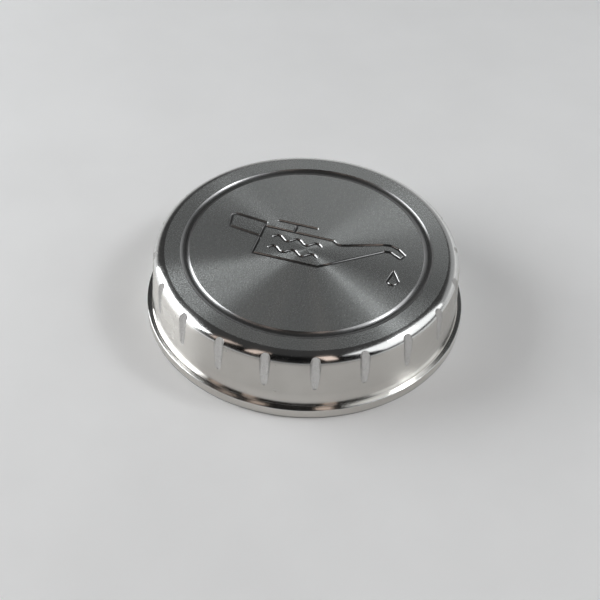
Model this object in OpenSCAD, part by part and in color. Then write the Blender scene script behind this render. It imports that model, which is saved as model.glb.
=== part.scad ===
// Turned aluminium cover that slips over an engine's oil filler cap.
// One solid, standing on its rim: the bore opens at z = 0 and the flat top faces +Z.
// A flute lies on the +X axis.

/* [Bore] */
// Diameter of the blind bore that goes over the filler cap
bore_d = 70; // [50:0.5:90]
// Depth of the bore, from the rim's foot to the underside of the top
bore_depth = 15.2; // [12:0.1:30]
// Radius in the corner at the blind end of the bore
bore_corner_r = 1; // [0.4:0.1:1.5]
// Width of the 45 degree lead-in at the mouth of the bore
bore_lead = 0.8; // [0.3:0.1:1.5]

/* [Shell] */
// Thickness of the top
top_t = 3.5; // [2.5:0.1:8]
// Thickness of the wall where it meets the rim
wall_t = 4.85; // [3.6:0.05:8]
// Lean of the wall, which widens towards the rim
wall_lean = 2.3; // [0.2:0.1:3]
// Radius of the polished shoulder between the wall and the top
shoulder_r = 3; // [1.6:0.1:4]

/* [Rim] */
// Height of the rim's outer face
rim_h = 2.7; // [1.5:0.1:4]
// Radius of the small hollow fillet between the wall and the rim
foot_r = 0.35; // [0.2:0.05:2.5]
// Width of the flat ledge outside the fillet
ledge_w = 1.05; // [0.6:0.05:3]
// Chamfer on the rim's two outer edges
rim_edge = 0.2; // [0.1:0.05:0.4]

/* [Flutes] */
// Number of flutes round the wall
flute_count = 20; // [8:1:24]
// Diameter of the ball-nosed cutter that makes a flute
flute_d = 2.7; // [2:0.1:5]
// Depth of a flute at its upper end, below the wall's surface
flute_depth = 1.2; // [0.5:0.05:1.5]
// Depth of a flute at its lower end
flute_end_depth = 0.2; // [0.1:0.05:0.6]
// Drop from the top face to the centre of a flute's round upper end
flute_drop = 0.85; // [0.6:0.05:3]
// Height between the centres of a flute's two round ends
flute_run = 8.7; // [4:0.1:9.6]

/* [Ring groove] */
// Width of the ring groove at the top face
groove_w = 2.4; // [1:0.1:4]
// Depth of the ring groove
groove_depth = 0.5; // [0.3:0.05:1]
// Width of the flat band between the groove and the shoulder
edge_band = 3.95; // [2:0.05:8]

/* [Hidden] */
$fn = 96;

// Overshoot that keeps cuts clear of the faces that they open
over = 1;
cover_h = bore_depth + top_t;
bore_r = bore_d / 2;
corner_r = min(bore_corner_r, top_t);

// Unit vectors out of the wall and up along it, as [radius, height]
wall_out = [cos(wall_lean), sin(wall_lean)];
wall_up = [-sin(wall_lean), cos(wall_lean)];
// Where the wall would meet the ledge if it had no fillet
wall_foot = [bore_r + wall_t, rim_h];

// Foot fillet: centre, and where it leaves the wall and the ledge
foot_c = wall_foot + wall_out * foot_r + wall_up * foot_r * (1 - sin(wall_lean)) / cos(wall_lean);
foot_on_wall = foot_c - wall_out * foot_r;
foot_on_ledge = [foot_c[0], rim_h];
rim_r = foot_c[0] + ledge_w;

// Shoulder: centre, and where it leaves the wall and the top
shoulder_rise = (cover_h - rim_h - shoulder_r * (1 - sin(wall_lean))) / cos(wall_lean);
shoulder_c = wall_foot - wall_out * shoulder_r + wall_up * shoulder_rise;
shoulder_on_wall = shoulder_c + wall_out * shoulder_r;
shoulder_on_top = [shoulder_c[0], cover_h];

// Ring groove: an arc that is groove_w wide and groove_depth deep
groove_arc_r = (groove_w * groove_w / 4 + groove_depth * groove_depth) / (2 * groove_depth);
groove_c = [shoulder_c[0] - edge_band - groove_w / 2, cover_h + groove_arc_r - groove_depth];

// Flute: centres of the ball-nosed cutter at the upper and the lower end, as [radius, height]
function wall_r_at(z) = wall_foot[0] - (z - rim_h) * tan(wall_lean);
function cutter_at(z, depth) = [wall_r_at(z) + flute_d / 2 - depth, z];
flute_start = cutter_at(cover_h - flute_drop, flute_depth);
flute_end = cutter_at(cover_h - flute_drop - flute_run, flute_end_depth);
flute_tilt = atan2(flute_end[0] - flute_start[0], flute_run);
flute_len = norm(flute_end - flute_start);

// Half section of the outside, with the shoulder and the foot as true arcs
module outer_section() {
    difference() {
        union() {
            polygon([
                [0, 0],
                [rim_r - rim_edge, 0],
                [rim_r, rim_edge],
                [rim_r, rim_h - rim_edge],
                [rim_r - rim_edge, rim_h],
                foot_on_ledge,
                foot_c,
                foot_on_wall,
                shoulder_on_wall,
                shoulder_c,
                shoulder_on_top,
                [0, cover_h]
            ]);
            intersection() {
                translate(shoulder_c)
                    circle(r = shoulder_r);
                translate(shoulder_c)
                    square(2 * shoulder_r);
            }
        }
        translate(foot_c)
            circle(r = foot_r);
    }
}

// Half section of the bore, with a lead-in at the mouth and a round corner at the blind end
module bore_section() {
    translate([0, -over])
        square([bore_r, bore_depth - corner_r + over]);
    square([bore_r - corner_r, bore_depth]);
    translate([bore_r - corner_r, bore_depth - corner_r])
        circle(r = corner_r);
    polygon([
        [0, -over],
        [bore_r + bore_lead + over, -over],
        [bore_r, bore_lead],
        [0, bore_lead]
    ]);
}

// One flute's cutter: a ball at the upper end, drawn down and outwards to a ball at the lower end
module flute_cut() {
    translate([flute_start[0], 0, flute_start[1]]) {
        sphere(d = flute_d);
        rotate([0, 180 - flute_tilt, 0]) {
            cylinder(d = flute_d, h = flute_len);
            translate([0, 0, flute_len])
                sphere(d = flute_d);
        }
    }
}

module ring_groove_cut() {
    rotate_extrude()
        translate(groove_c)
            circle(r = groove_arc_r);
}

module cover() {
    color("silver")
    difference() {
        rotate_extrude()
            outer_section();
        rotate_extrude()
            bore_section();
        ring_groove_cut();
        for (i = [0 : flute_count - 1])
            rotate([0, 0, i * 360 / flute_count])
                flute_cut();
    }
}

cover();
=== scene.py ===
"""Looks of a turned aluminium oil cap cover: fluted, polished body, brushed top and engraved sign."""
import math

import bmesh
import bpy
from bpy.props import FloatProperty, FloatVectorProperty, IntProperty, PointerProperty
from mathutils import Matrix, Vector


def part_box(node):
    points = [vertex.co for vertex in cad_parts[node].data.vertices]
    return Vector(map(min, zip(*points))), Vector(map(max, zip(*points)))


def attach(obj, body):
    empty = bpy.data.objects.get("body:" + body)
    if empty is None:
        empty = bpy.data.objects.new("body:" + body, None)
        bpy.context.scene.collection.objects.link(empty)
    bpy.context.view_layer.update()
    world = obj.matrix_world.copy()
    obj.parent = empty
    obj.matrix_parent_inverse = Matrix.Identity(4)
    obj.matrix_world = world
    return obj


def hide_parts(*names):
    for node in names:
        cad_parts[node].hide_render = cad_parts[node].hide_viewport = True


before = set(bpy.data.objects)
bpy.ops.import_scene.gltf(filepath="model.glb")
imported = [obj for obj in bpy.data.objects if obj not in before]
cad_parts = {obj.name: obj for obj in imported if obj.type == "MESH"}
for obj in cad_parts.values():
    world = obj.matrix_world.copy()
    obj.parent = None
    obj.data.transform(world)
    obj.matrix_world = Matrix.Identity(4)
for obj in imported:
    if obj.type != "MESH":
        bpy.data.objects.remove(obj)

bl_info = {
    "name": "Oil Cap Cover",
    "version": (1, 0, 0),
    "blender": (4, 5, 0),
    "location": "View3D > Sidebar > Oil Cap Cover",
    "description": "Builds a turned, fluted and engraved cover for an oil filler cap",
    "category": "Add Mesh",
}

MM = 0.001
PIECE = "cover_body"
UP = Vector((0, 0, 1))

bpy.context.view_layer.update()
node_low, node_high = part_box("cover")
COVER_H = node_high[2] - node_low[2]

# The finishes, in the order of the body's material slots
# The groove's finish also paints contact shade on the rim's foot
BRUSHED, GROOVE_AND_FOOT_SHADE, POLISHED, WALL, FLUTE, BORE, SIGN = range(7)

# Steps of the half section's small arcs and of its straight wall
EDGE_STEPS = 5
CORNER_STEPS = 6
FOOT_STEPS = 8
WALL_STEPS = 12

# Equal sectors that the body is made of
SECTORS = 20
# Steps of a quarter round on the cutters
FLUTE_STEPS = 16
STROKE_STEPS = 6

# Points closer than this are merged, and edges shorter than a speck are dissolved after the cuts
SEAM = 0.002 * MM
SPECK = 0.0005 * MM
# Faces that meet at more than this angle are shaded with a sharp edge
SHARP = math.radians(30)

# Fineness of the patterns, in cells of noise a metre
RINGS = 9000
BORE_RINGS = 5000
CUTTER_GRAIN = 3500
LINE_GRAIN = 6000
HAZE = 120
MOTTLE = 30

# Outward slope of the brushed ridges
RIDGE_LEAN = 0.08
# Width of the painted shade, a darker tone, along the edges of the polished and satin metal
PAINTED_EDGE_W = 0.3 * MM

LIGHT_REACH = 0.6
LAMP_TINT = (1, 0.82, 0.72)
BANK_TINT = (0.97, 0.99, 1)
FLOOR_HALF = 3


def length(name, default_mm, description):
    """A size in metres, given in millimetres."""
    default = default_mm * MM
    return FloatProperty(name=name, description=description, default=default, unit="LENGTH", precision=5)


def angle(name, default_deg, description):
    """An angle, given in degrees."""
    default = math.radians(default_deg)
    return FloatProperty(name=name, description=description, default=default, subtype="ANGLE")


def colour(name, default, description):
    """A colour, given as its shares of red, green and blue."""
    return FloatVectorProperty(
        name=name, description=description, default=default, subtype="COLOR", size=3, min=0, max=1)


class BodySizes(bpy.types.PropertyGroup):
    """Sizes of the turned body, most of them those of the solid that it stands for."""

    bore_r: length("Bore radius", 35, "Radius of the blind bore")
    bore_depth: length("Bore depth", 15.2, "Depth of the blind bore")
    bore_corner_r: length("Bore corner", 1, "Radius in the corner at the blind end")
    bore_lead: length("Bore lead-in", 0.8, "Width of the lead-in at the mouth")
    wall_t: length("Wall", 4.85, "Thickness of the wall where it meets the rim")
    wall_lean: angle("Wall lean", 2.3, "Lean of the wall, which widens towards the rim")
    shoulder_r: length("Shoulder", 3, "Radius of the polished shoulder")
    polish_end: angle("Polish end", 20, "Lean of the shoulder where its polish gives way to satin")
    rim_h: length("Rim height", 2.7, "Height of the rim's outer face")
    rim_edge: length("Rim edge", 0.2, "Round on the rim's outer edges")
    foot_r: length("Foot fillet", 0.35, "Radius of the small hollow fillet above the rim")
    ledge_w: length("Ledge", 1.05, "Width of the flat ledge outside the fillet")
    groove_w: length("Groove width", 2.4, "Width of the ring groove at the top")
    groove_depth: length("Groove depth", 0.5, "Depth of the ring groove")
    groove_lip: length("Groove lip", 0.12, "Round on the ring groove's two edges")
    edge_band: length("Edge band", 3.95, "Width of the flat band outside the ring groove")
    around: IntProperty(name="Steps around", description="Steps of the spin", default=600, min=60)
    arc_steps: IntProperty(name="Arc steps", description="Steps of a large arc", default=20, min=4)


class FluteSizes(bpy.types.PropertyGroup):
    """Sizes of the finger flutes."""

    count: IntProperty(name="Flutes", description="Number of flutes", default=20, min=1)
    radius: length("Cutter radius", 1.35, "Radius of the ball-nosed cutter")
    depth: length("Depth", 1.2, "Depth at the upper end")
    end_depth: length("End depth", 0.2, "Depth at the lower end")
    drop: length("Drop", 0.85, "From the top down to the centre of the upper end")
    run: length("Run", 8.7, "Height between the centres of the two round ends")


class SignSizes(bpy.types.PropertyGroup):
    """Sizes of the engraved oil can."""

    stroke_w: length("Stroke", 0.95, "Width of an engraved line")
    stroke_depth: length("Stroke depth", 0.36, "Depth of an engraved line")
    turn: angle("Turn", -2, "Turn of the sign from the flute on +X")


class Finishes(bpy.types.PropertyGroup):
    """Colours of the metal and the floor."""

    metal: colour("Metal", (0.80, 0.80, 0.79), "Colour of the polished metal and the bore")
    brushed: colour("Brushed metal", (0.66, 0.68, 0.67), "Colour of the brushed top")
    satin: colour("Satin metal", (0.635, 0.615, 0.583), "Colour of the satin wall")
    # This colour also gives the rim's foot its painted contact shade
    engraved: colour("Engraved metal", (0.4, 0.4, 0.4), "Colour of the groove and the engraved lines")
    milled: colour("Milled metal", (0.62, 0.61, 0.6), "Colour of the metal left satin by the cutter")
    floor: colour("Floor", (0.93, 0.93, 0.93), "Colour of the floor")


class StageSettings(bpy.types.PropertyGroup):
    """Where the camera stands and how it is set."""

    azimuth: angle("Azimuth", 13.1, "Camera's place round the cover, from -Y towards +X")
    elevation: angle("Elevation", 43.82, "Camera's height above the horizon")
    roll: angle("Roll", 2.47, "Turn of the camera about its own axis")
    distance: length("Distance", 412.5, "From the camera to the middle of the rim's foot")
    lens: FloatProperty(name="Lens", description="Focal length in millimetres", default=93.7, min=1)
    pan: length("Pan", -1.18, "Aim, to the right of the middle of the rim's foot")
    tilt: length("Tilt", 0.45, "Aim, above the middle of the rim's foot")


# Outlines

def arc(centre, radius, start, end, steps):
    """Points of an arc from start to end, in degrees, both ends included."""
    turns = [math.radians(start + (end - start) * i / steps) for i in range(steps + 1)]
    return [centre + radius * Vector((math.cos(t), math.sin(t))) for t in turns]


def groove_outline(s, middle):
    """The ring groove's section, round a middle radius: an arc with a small round at each end."""
    radius = (s.groove_w ** 2 / 4 + s.groove_depth ** 2) / (2 * s.groove_depth)
    centre = Vector((middle, COVER_H + radius - s.groove_depth))
    # The arc and the rounds touch where both lean by the same angle
    lip_z = COVER_H - s.groove_lip
    swing = math.degrees(math.acos((centre.y - lip_z) / (radius + s.groove_lip)))
    reach = math.sin(math.radians(swing)) * (radius + s.groove_lip)
    lip_in = Vector((middle - reach, lip_z))
    lip_out = Vector((middle + reach, lip_z))

    points = arc(lip_in, s.groove_lip, 90, 90 - swing, EDGE_STEPS)
    points += arc(centre, radius, 270 - swing, 270 + swing, s.arc_steps)[1:]
    points += arc(lip_out, s.groove_lip, 90 + swing, 90, EDGE_STEPS)[1:]
    return points


def body_zones(s):
    """The half section as [finish, points] pairs: out along the top, down the side and back below."""
    lean = s.wall_lean
    side = math.degrees(lean)
    out = Vector((math.cos(lean), math.sin(lean)))
    up = Vector((-math.sin(lean), math.cos(lean)))
    corner = Vector((s.bore_r + s.wall_t, s.rim_h))

    foot_c = corner + out * s.foot_r + up * s.foot_r * (1 - math.sin(lean)) / math.cos(lean)
    rise = (COVER_H - s.rim_h - s.shoulder_r * (1 - math.sin(lean))) / math.cos(lean)
    shoulder_c = corner - out * s.shoulder_r + up * rise
    rim_r = foot_c.x + s.ledge_w

    groove = groove_outline(s, shoulder_c.x - s.edge_band - s.groove_w / 2)
    groove_in, groove_out = groove[0].x, groove[-1].x
    top = [Vector((0, COVER_H)), Vector((groove_in / 2, COVER_H)), Vector((groove_in, COVER_H))]
    band = [Vector((groove_out, COVER_H)), Vector((shoulder_c.x, COVER_H))]

    polish_end = math.degrees(s.polish_end)
    shoulder = arc(shoulder_c, s.shoulder_r, 90, polish_end, s.arc_steps)
    wall = arc(shoulder_c, s.shoulder_r, polish_end, side, CORNER_STEPS)
    wall_top, wall_foot = wall[-1], foot_c - out * s.foot_r
    wall += [wall_top.lerp(wall_foot, i / WALL_STEPS) for i in range(1, WALL_STEPS)]
    wall += arc(foot_c, s.foot_r, 180 + side, 270, FOOT_STEPS)

    e = s.rim_edge
    # Painted shade: the rim's outer face takes the darker groove finish from its lower edge up to this
    # height, in place of the contact shadow at the floor
    foot_shade_h = 2 * e
    ledge = [wall[-1]] + arc(Vector((rim_r - e, s.rim_h - e)), e, 90, 0, EDGE_STEPS)
    rim_face = [ledge[-1], Vector((rim_r, foot_shade_h))]
    rim_foot = [rim_face[-1]] + arc(Vector((rim_r - e, e)), e, 0, -90, EDGE_STEPS)

    c = min(s.bore_corner_r, COVER_H - s.bore_depth)
    under = [Vector((rim_r - e, 0)), Vector((s.bore_r + s.bore_lead, 0)), Vector((s.bore_r, s.bore_lead))]
    under += arc(Vector((s.bore_r - c, s.bore_depth - c)), c, 0, 90, CORNER_STEPS)
    under += [Vector((0, s.bore_depth))]

    upper = [(BRUSHED, top), (GROOVE_AND_FOOT_SHADE, groove), (BRUSHED, band), (POLISHED, shoulder), (WALL, wall)]
    # The rim's foot takes the groove's darker finish as painted contact shade
    lower = [(POLISHED, ledge), (WALL, rim_face), (GROOVE_AND_FOOT_SHADE, rim_foot), (BORE, under)]
    return upper + lower


def wall_radius(s, z):
    """The wall's radius at a height."""
    return s.bore_r + s.wall_t - (z - s.rim_h) * math.tan(s.wall_lean)


# Mesh helpers

def spin_outline(bm, points, finish, steps, sectors=1):
    """Spins [radius, height] points about Z, all round or over one sector, and gives the faces a finish."""
    verts = [bm.verts.new((p.x, 0, p.y)) for p in points]
    edges = [bm.edges.new(pair) for pair in zip(verts, verts[1:])]
    before = set(bm.faces)
    geom = verts + edges
    turn = 2 * math.pi / sectors
    full = sectors == 1
    bmesh.ops.spin(bm, geom=geom, cent=(0, 0, 0), axis=UP, angle=turn, steps=steps, use_merge=full)
    for face in set(bm.faces) - before:
        face.material_index = finish


def repeat_round(bm, count):
    """Repeats everything in the bmesh at equal turns about Z."""
    first = bm.verts[:] + bm.edges[:] + bm.faces[:]
    for i in range(1, count):
        copy = bmesh.ops.duplicate(bm, geom=first)["geom"]
        verts = [item for item in copy if isinstance(item, bmesh.types.BMVert)]
        turn = Matrix.Rotation(2 * math.pi * i / count, 3, "Z")
        bmesh.ops.rotate(bm, cent=(0, 0, 0), matrix=turn, verts=verts)


def finished_mesh(bm, name):
    """Turns a closed bmesh into a mesh with smooth faces that point outwards."""
    bmesh.ops.remove_doubles(bm, verts=bm.verts, dist=SEAM)
    bmesh.ops.recalc_face_normals(bm, faces=bm.faces)
    for face in bm.faces:
        face.smooth = True
    mesh = bpy.data.meshes.new(name)
    bm.to_mesh(mesh)
    bm.free()
    return mesh


def add_object(name, data):
    """Adds an object that shows a mesh, a light or a camera."""
    item = bpy.data.objects.new(name, data)
    bpy.context.scene.collection.objects.link(item)
    return item


def settle(piece):
    """Applies the piece's modifiers."""
    graph = bpy.context.evaluated_depsgraph_get()
    old = piece.data
    result = piece.evaluated_get(graph)
    piece.data = bpy.data.meshes.new_from_object(result, preserve_all_data_layers=True, depsgraph=graph)
    piece.modifiers.clear()
    bpy.data.meshes.remove(old)


def cut(piece, tools):
    """Cuts the tools away from the piece, and removes the tools."""
    group = bpy.data.collections.new("tools")
    for tool in tools:
        group.objects.link(tool)
    modifier = piece.modifiers.new("cut", "BOOLEAN")
    modifier.operand_type = "COLLECTION"
    modifier.collection = group
    modifier.operation = "DIFFERENCE"
    modifier.solver = "MANIFOLD"
    faces = len(piece.data.polygons)
    settle(piece)
    if len(piece.data.polygons) in (0, faces):
        raise RuntimeError(f"The cut left {piece.name} empty or as it was")
    for tool in tools:
        mesh = tool.data
        bpy.data.objects.remove(tool)
        bpy.data.meshes.remove(mesh)
    bpy.data.collections.remove(group)


# The body

def turned_blank(s):
    """The body before its flutes and sign are cut, spun as one sector that is then repeated."""
    bm = bmesh.new()
    for finish, points in body_zones(s):
        spin_outline(bm, points, finish, s.around // SECTORS, SECTORS)
    repeat_round(bm, SECTORS)
    return add_object(PIECE, finished_mesh(bm, PIECE))


def round_bar(start, end, radius, finish, steps):
    """A bmesh of a bar with two round ends, whose centres are start and end."""
    run = end - start
    bm = bmesh.new()
    near_end = arc(Vector((0, 0)), radius, -90, 0, steps)
    far_end = arc(Vector((0, run.length)), radius, 0, 90, steps)
    spin_outline(bm, near_end + far_end, finish, steps * 4)
    bmesh.ops.remove_doubles(bm, verts=bm.verts, dist=SEAM)
    aim = UP.rotation_difference(run).to_matrix().to_4x4()
    bmesh.ops.transform(bm, matrix=Matrix.Translation(start) @ aim, verts=bm.verts)
    return bm


def flute_cutters(s, f):
    """All the flutes' cutters as one tool, each leaning out on its way down, so its flute grows shallow."""
    start_z = COVER_H - f.drop
    end_z = start_z - f.run
    start = Vector((wall_radius(s, start_z) + f.radius - f.depth, 0, start_z))
    end = Vector((wall_radius(s, end_z) + f.radius - f.end_depth, 0, end_z))
    tool = round_bar(start, end, f.radius, FLUTE, FLUTE_STEPS)
    repeat_round(tool, f.count)
    return add_object("flute_cutters", finished_mesh(tool, "flute_cutters"))


# The sign

def oil_can_lines():
    """The oil can, its drop and its ripples as lines of points, in millimetres, reading along X."""
    v = Vector
    spout_tip = [v((23.7, 3.9)), v((24.4, 5.7))]
    can = [v((4.4, -5.6)), v((-12.9, -5.6)), v((-12.9, 6.6))]
    lid = [v((-12.9, 5.2)), v((5.5, 5.2)), v((7.2, 4.1))]
    upper = [v((7.2, 4.1)), v((8.2, 4.1)), v((18.2, 7.8)), v((20.3, 8.1)), v((22.4, 7.3)), spout_tip[1]]
    under = [v((4.4, -5.6)), v((8.2, -2.8)), v((19.2, 5.4)), v((20.7, 5.6)), spout_tip[0]]
    handle = [v((-12.9, 6.6)), v((-21.4, 7.5)), v((-22.3, 6.8)), v((-21.7, 2.4)), v((-12.9, 1.1))]
    cap = [v((-10, 8.4)), v((0.3, 8.4))]
    stem = [v((-4.9, 8.4)), v((-4.9, 5.2))]
    drop_tip = v((23.2, -1.0))
    drop_middle, drop_r = v((23.8, -4.6)), 1.5
    drop = [drop_tip] + arc(drop_middle, drop_r, 205, 370, 10) + [drop_tip]
    return [can, lid, upper, under, spout_tip, handle, cap, stem, drop, wave(2), wave(-2.3)]


def wave(height):
    """A line of ripples across the can."""
    left, right = -9.6, 3.2
    ripples, rise = 2.5, 0.8
    steps = 30
    points = []
    for i in range(steps + 1):
        turn = 2 * math.pi * ripples * i / steps
        points.append(Vector((left + (right - left) * i / steps, height + rise * math.sin(turn))))
    return points


def sign_cutters(g):
    """The sign's strokes, each the bar that a round-nosed cutter would sweep."""
    radius = (g.stroke_w ** 2 / 4 + g.stroke_depth ** 2) / (2 * g.stroke_depth)
    height = COVER_H + radius - g.stroke_depth
    place = Matrix.Rotation(g.turn, 3, "Z")
    strokes = []
    for line in oil_can_lines():
        points = [place @ Vector((p.x * MM, p.y * MM, height)) for p in line]
        for start, end in zip(points, points[1:]):
            bar = round_bar(start, end, radius, SIGN, STROKE_STEPS)
            strokes.append(add_object("stroke", finished_mesh(bar, "stroke")))
    return strokes


def mark_edges(piece):
    """Dissolves the specks that the cuts leave, and marks the cuts' edges and other hard edges sharp."""
    bm = bmesh.new()
    bm.from_mesh(piece.data)
    bmesh.ops.triangulate(bm, faces=bm.faces)
    bmesh.ops.dissolve_degenerate(bm, dist=SPECK, edges=bm.edges)
    bmesh.ops.recalc_face_normals(bm, faces=bm.faces)
    for edge in bm.edges:
        faces = edge.link_faces
        if len(faces) != 2:
            continue
        finishes = {face.material_index for face in faces}
        meets_cut = len(finishes) == 2 and (FLUTE in finishes or SIGN in finishes)
        edge.smooth = not (meets_cut or edge.calc_face_angle(0) > SHARP)
    bm.to_mesh(piece.data)
    bm.free()


def weigh_normals(piece):
    """Lets the larger faces decide the shading, so that flats stay flat beside their rounds."""
    modifier = piece.modifiers.new("weigh", "WEIGHTED_NORMAL")
    modifier.mode = "FACE_AREA_WITH_ANGLE"
    modifier.weight = 50
    modifier.keep_sharp = True
    settle(piece)


# Materials

class Shader:
    """The node tree of a material or a world, with short ways to add to it."""

    def __init__(self, owner, surface="Principled BSDF"):
        self.owner = owner
        self.owner.use_nodes = True
        self.tree = owner.node_tree
        self.surface = self.tree.nodes[surface]

    def add(self, kind, **settings):
        node = self.tree.nodes.new(kind)
        for key, value in settings.items():
            setattr(node, key, value)
        return node

    def feed(self, socket, value):
        """Links an output to the socket, or sets the socket's own value."""
        if value is None:
            return
        if isinstance(value, bpy.types.NodeSocket):
            self.tree.links.new(value, socket)
        else:
            socket.default_value = value

    def set(self, **values):
        """Feeds the surface's own sockets, by their names."""
        for name, value in values.items():
            self.feed(self.surface.inputs[name.replace("_", " ")], value)

    def place(self):
        """The point on the piece."""
        return self.add("ShaderNodeTexCoord").outputs["Object"]

    def normal(self):
        """The surface's own normal."""
        return self.add("ShaderNodeNewGeometry").outputs["Normal"]

    def maths(self, operation, a, b):
        node = self.add("ShaderNodeMath", operation=operation)
        for socket, value in zip(node.inputs, (a, b)):
            self.feed(socket, value)
        return node.outputs[0]

    def vector(self, operation, a, b=None, out="Vector"):
        node = self.add("ShaderNodeVectorMath", operation=operation)
        for socket, value in zip(node.inputs, (a, b)):
            self.feed(socket, value)
        return node.outputs[out]

    def scaled(self, vector, factor):
        """The vector or colour, times a factor."""
        node = self.add("ShaderNodeVectorMath", operation="SCALE")
        self.feed(node.inputs[0], vector)
        self.feed(node.inputs["Scale"], factor)
        return node.outputs[0]

    def join(self, x, y, z):
        node = self.add("ShaderNodeCombineXYZ")
        for socket, value in zip(node.inputs, (x, y, z)):
            self.feed(socket, value)
        return node.outputs[0]

    def split(self, vector):
        node = self.add("ShaderNodeSeparateXYZ")
        self.feed(node.inputs[0], vector)
        return node.outputs

    def noise(self, vector, scale, detail, roughness=0.5):
        node = self.add("ShaderNodeTexNoise")
        self.feed(node.inputs["Vector"], vector)
        self.feed(node.inputs["Scale"], scale)
        self.feed(node.inputs["Detail"], detail)
        self.feed(node.inputs["Roughness"], roughness)
        return node.outputs["Fac"]

    def spread(self, value, low, high, from_low=0.3, from_high=0.7):
        """Maps a value between two limits onto low to high."""
        node = self.add("ShaderNodeMapRange")
        self.feed(node.inputs["Value"], value)
        self.feed(node.inputs["From Min"], from_low)
        self.feed(node.inputs["From Max"], from_high)
        self.feed(node.inputs["To Min"], low)
        self.feed(node.inputs["To Max"], high)
        return node.outputs["Result"]

    def bump(self, height, distance, strength, normal=None):
        node = self.add("ShaderNodeBump")
        self.feed(node.inputs["Strength"], strength)
        self.feed(node.inputs["Distance"], distance)
        self.feed(node.inputs["Height"], height)
        self.feed(node.inputs["Normal"], normal)
        return node.outputs["Normal"]

    def rounded(self, radius):
        """A normal that rounds the edges by a small radius."""
        node = self.add("ShaderNodeBevel", samples=6)
        self.feed(node.inputs["Radius"], radius)
        return node.outputs["Normal"]

    def painted_dark_edges(self, base):
        """The base colour with painted shade along the edges: darker where the rounded normal turns away
        from the surface's own.
        """
        facing = self.vector("DOT_PRODUCT", self.rounded(PAINTED_EDGE_W), self.normal(), out="Value")
        return self.scaled(base, self.spread(facing, 0.1, 1, from_low=0.85, from_high=0.99))

    def outward(self):
        """The direction straight out from the axis."""
        x, y, _ = self.split(self.place())
        return self.vector("NORMALIZE", self.join(x, y, 0))

    def turned_pattern(self, fineness, breaks):
        """A point for noise that changes fast along the radius or the height, and slowly around."""
        x, y, z = self.split(self.place())
        radius = self.vector("LENGTH", self.join(x, y, 0), out="Value")
        across = self.maths("MULTIPLY", self.maths("ADD", radius, z), fineness)
        around_x, around_y, _ = self.split(self.scaled(self.outward(), breaks))
        return self.join(around_x, around_y, across)

    def meridian(self):
        """The direction out from the axis and down, which runs along the half section."""
        return self.vector("SUBTRACT", self.outward(), tuple(UP))

    def leaning(self, slope):
        """The surface's own normal, leaning a little away from the axis."""
        lifted = self.vector("ADD", self.scaled(self.outward(), slope), self.normal())
        return self.vector("NORMALIZE", lifted)


def brushed_metal(c):
    """The top, slightly matt, with the fine rings of its turning."""
    m = Shader(bpy.data.materials.new("brushed_top"))
    rings = m.noise(m.turned_pattern(RINGS, breaks=60), 1, detail=2, roughness=0.6)
    m.set(Base_Color=(*c.brushed, 1), Metallic=0.88, Anisotropic=1, Tangent=m.meridian())
    m.set(Roughness=m.spread(rings, 0.24, 0.28, from_low=0.5, from_high=0.62))
    m.set(Normal=m.bump(rings, 0.004 * MM, strength=0.25, normal=m.leaning(RIDGE_LEAN)))
    return m.owner


def polished_metal(c):
    """The shoulder and the ledge, close to a mirror, with a faint haze."""
    m = Shader(bpy.data.materials.new("polished_shoulder"))
    haze = m.noise(m.place(), HAZE, detail=3)
    # The base colour carries painted shade along the edges
    m.set(Base_Color=m.painted_dark_edges(tuple(c.metal)), Metallic=1, Anisotropic=1, Tangent=m.meridian())
    m.set(Roughness=m.spread(haze, 0.12, 0.16), Normal=m.rounded(0.12 * MM))
    return m.owner


def wall_metal(c):
    """The wall and the rim's outer face: blurred up and down, sharp around, and clearest low down."""
    m = Shader(bpy.data.materials.new("satin_wall"))
    _, _, height = m.split(m.place())
    satin = m.spread(height, 0.1, 0.23, from_low=3.9 * MM, from_high=7 * MM)
    haze = m.noise(m.place(), HAZE, detail=3)
    lines = m.noise(m.turned_pattern(RINGS, breaks=2), 1, detail=2)
    # The base colour carries painted shade along the edges
    m.set(Base_Color=m.painted_dark_edges(tuple(c.satin)), Metallic=1, Anisotropic=1, Tangent=m.meridian())
    m.set(Roughness=m.maths("ADD", satin, m.spread(haze, 0, 0.05)))
    m.set(Normal=m.bump(lines, 0.003 * MM, strength=0.3))
    return m.owner


def flute_metal(c):
    """The flutes, left satin by the cutter."""
    m = Shader(bpy.data.materials.new("satin_flute"))
    grain = m.noise(m.place(), CUTTER_GRAIN, detail=3)
    m.set(Base_Color=(*c.milled, 1), Metallic=1, Roughness=m.spread(grain, 0.2, 0.4))
    m.set(Normal=m.bump(grain, 0.05 * MM, strength=0.7, normal=m.rounded(0.15 * MM)))
    return m.owner


def groove_metal(c):
    """The ring groove, with the lines of a round-nosed tool, and the rim's foot, where its darker colour is
    painted contact shade.
    """
    m = Shader(bpy.data.materials.new("turned_groove"))
    lines = m.noise(m.turned_pattern(RINGS, breaks=2), 1, detail=2)
    m.set(Base_Color=(*c.engraved, 1), Metallic=1, Anisotropic=0.6, Tangent=m.meridian())
    m.set(Roughness=m.spread(lines, 0.24, 0.34), Normal=m.bump(lines, 0.003 * MM, strength=0.3))
    return m.owner


def bore_metal(c):
    """The underside, with the rings of a finishing cut."""
    m = Shader(bpy.data.materials.new("turned_bore"))
    rings = m.noise(m.turned_pattern(BORE_RINGS, breaks=0.4), 1, detail=1)
    m.set(Base_Color=(*c.metal, 1), Metallic=1, Roughness=0.32, Anisotropic=0.5, Tangent=m.meridian())
    m.set(Normal=m.bump(rings, 0.01 * MM, strength=0.4))
    return m.owner


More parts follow.
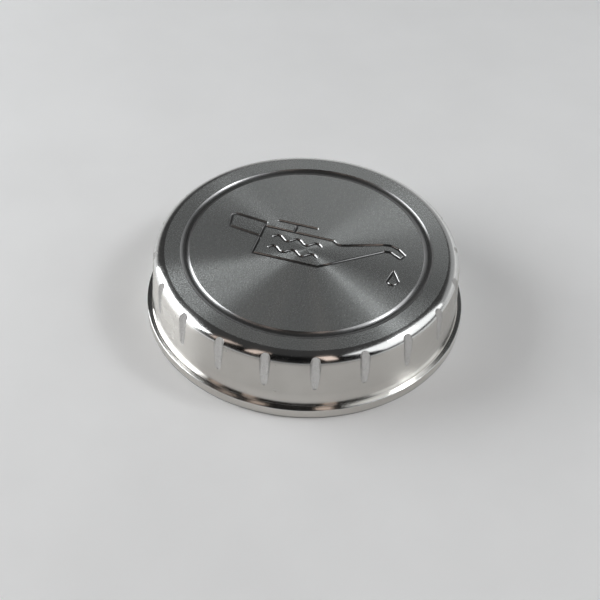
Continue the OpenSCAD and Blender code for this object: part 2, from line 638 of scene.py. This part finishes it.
def sign_metal(c):
    """The engraved lines."""
    m = Shader(bpy.data.materials.new("engraved_line"))
    grain = m.noise(m.place(), LINE_GRAIN, detail=2)
    m.set(Base_Color=(*c.engraved, 1), Metallic=1, Roughness=m.spread(grain, 0.1, 0.18))
    m.set(Normal=m.bump(grain, 0.01 * MM, strength=0.4, normal=m.rounded(0.08 * MM)))
    return m.owner


def floor_material(c):
    """Matt pale card."""
    m = Shader(bpy.data.materials.new("pale_floor"))
    mottle = m.noise(m.place(), MOTTLE, detail=3)
    m.set(Base_Color=m.scaled(tuple(c.floor), m.spread(mottle, 0.98, 1.02)), Roughness=0.6)
    return m.owner


# The body's materials, in the order of the finishes' numbers
FINISHES = (brushed_metal, groove_metal, polished_metal, wall_metal, flute_metal, bore_metal, sign_metal)


class COVER_OT_body(bpy.types.Operator):
    """Turn the body, cut its flutes and its sign, and finish it"""

    bl_idname = "cover.body"
    bl_label = "Cover Body"

    def execute(self, context):
        scene = context.scene
        sizes = scene.cover_body
        body = turned_blank(sizes)
        for finish in FINISHES:
            body.data.materials.append(finish(scene.cover_finishes))
        cut(body, [flute_cutters(sizes, scene.cover_flutes)])
        cut(body, sign_cutters(scene.cover_sign))
        mark_edges(body)
        weigh_normals(body)
        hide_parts("cover")
        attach(body, "root")
        return {"FINISHED"}


# The stage

def direction(azimuth, elevation):
    """The direction out from the cover at an azimuth, from -Y towards +X, and an elevation."""
    level = math.cos(elevation)
    return Vector((math.sin(azimuth) * level, -math.cos(azimuth) * level, math.sin(elevation)))


def lay_floor(c):
    """A wide, flat floor in the plane that the cover stands on."""
    bm = bmesh.new()
    bmesh.ops.create_grid(bm, x_segments=8, y_segments=8, size=FLOOR_HALF)
    mesh = bpy.data.meshes.new("floor")
    bm.to_mesh(mesh)
    bm.free()
    mesh.materials.append(floor_material(c))
    return add_object("floor", mesh)


def softbox(name, azimuth, elevation, size, power, tint):
    """A soft area light that looks at the cover, with angles in degrees and power in watts."""
    light = bpy.data.lights.new(name, "AREA")
    light.shape = "RECTANGLE"
    light.size, light.size_y = size
    light.energy = power
    light.color = tint
    lamp = add_object(name, light)
    back = direction(math.radians(azimuth), math.radians(elevation))
    lamp.location = back * LIGHT_REACH
    lamp.rotation_euler = (-back).to_track_quat("-Z", "Y").to_euler()
    lamp.visible_camera = False


def hang_lights(front):
    """Wide banks, small heads and narrow warm lamps, placed from the camera's azimuth in degrees."""
    head = (0.12, 0.12)
    strip = (0.08, 0.36)
    softbox("left_bank", front - 98, 22, (0.55, 0.45), 3.5, BANK_TINT)
    softbox("left_head", front - 101, 45, head, 0.08, BANK_TINT)
    softbox("right_bank", front + 80, 40, (0.6, 0.55), 1.2, BANK_TINT)
    softbox("right_head", front + 88, 50, head, 0.5, BANK_TINT)
    softbox("back_bank", front + 145, 20, (1, 0.4), 0.38, BANK_TINT)
    softbox("lamp_far_left", front - 60, 40, strip, 0.06, LAMP_TINT)
    softbox("lamp_left", front - 35, 45, strip, 0.07, LAMP_TINT)
    softbox("lamp_right", front + 20, 47, strip, 0.09, LAMP_TINT)


def studio_world(azimuth):
    """A dim room, darkest behind the camera, with a pale sweep low down behind the cover."""
    w = Shader(bpy.data.worlds.new("studio"), "Background")
    ray = w.add("ShaderNodeTexCoord").outputs["Generated"]
    facing = w.vector("DOT_PRODUCT", ray, tuple(direction(azimuth, 0)), out="Value")
    _, _, height = w.split(ray)
    dim, dark, pale = 0.04, 0.005, 0.5
    room = w.spread(facing, dim, dark, from_low=0.3, from_high=0.5)
    low = w.spread(height, 1, 0, from_low=0.15, from_high=0.3)
    behind = w.spread(facing, pale, 0, from_low=-0.5, from_high=-0.1)
    w.set(Color=w.maths("ADD", room, w.maths("MULTIPLY", low, behind)))
    return w.owner


def placed_camera(view):
    """The camera, aimed a little beside the middle of the rim's foot."""
    back = direction(view.azimuth, view.elevation)
    level = Vector((math.cos(view.azimuth), math.sin(view.azimuth), 0))
    rise = back.cross(level)
    right = level * math.cos(view.roll) + rise * math.sin(view.roll)
    upward = rise * math.cos(view.roll) - level * math.sin(view.roll)
    place = back * view.distance
    aim = right * view.pan + upward * view.tilt
    facing = (place - aim).normalized()
    right = upward.cross(facing).normalized()
    upward = facing.cross(right)

    lens = bpy.data.cameras.new("camera")
    lens.lens = view.lens
    lens.clip_start = 10 * MM
    camera = add_object("camera", lens)
    axes = Matrix((right, upward, facing)).transposed().to_4x4()
    camera.matrix_world = Matrix.Translation(place) @ axes
    return camera


class COVER_OT_stage(bpy.types.Operator):
    """Lay the floor, hang the lights and set up the camera"""

    bl_idname = "cover.stage"
    bl_label = "Cover Stage"

    def execute(self, context):
        scene = context.scene
        view = scene.cover_stage
        floor = lay_floor(scene.cover_finishes)
        hang_lights(math.degrees(view.azimuth))
        scene.world = studio_world(view.azimuth)
        scene.camera = placed_camera(view)
        scene.view_settings.view_transform = "Standard"
        return {"FINISHED"}


class COVER_PT_panel(bpy.types.Panel):
    """Lists the steps that build the cover"""

    bl_idname = "COVER_PT_panel"
    bl_label = "Oil Cap Cover"
    bl_space_type = "VIEW_3D"
    bl_region_type = "UI"
    bl_category = "Oil Cap Cover"

    def draw(self, context):
        for operator in (COVER_OT_body, COVER_OT_stage):
            self.layout.operator(operator.bl_idname)


GROUPS = {
    "cover_body": BodySizes,
    "cover_flutes": FluteSizes,
    "cover_sign": SignSizes,
    "cover_finishes": Finishes,
    "cover_stage": StageSettings,
}
CLASSES = (*GROUPS.values(), COVER_OT_body, COVER_OT_stage, COVER_PT_panel)


def register():
    for each in CLASSES:
        bpy.utils.register_class(each)
    for name, group in GROUPS.items():
        setattr(bpy.types.Scene, name, PointerProperty(type=group))


def unregister():
    for name in GROUPS:
        delattr(bpy.types.Scene, name)
    for each in reversed(CLASSES):
        bpy.utils.unregister_class(each)


def main():
    register()
    bpy.ops.cover.body()
    bpy.ops.cover.stage()


if __name__ == "__main__":
    main()
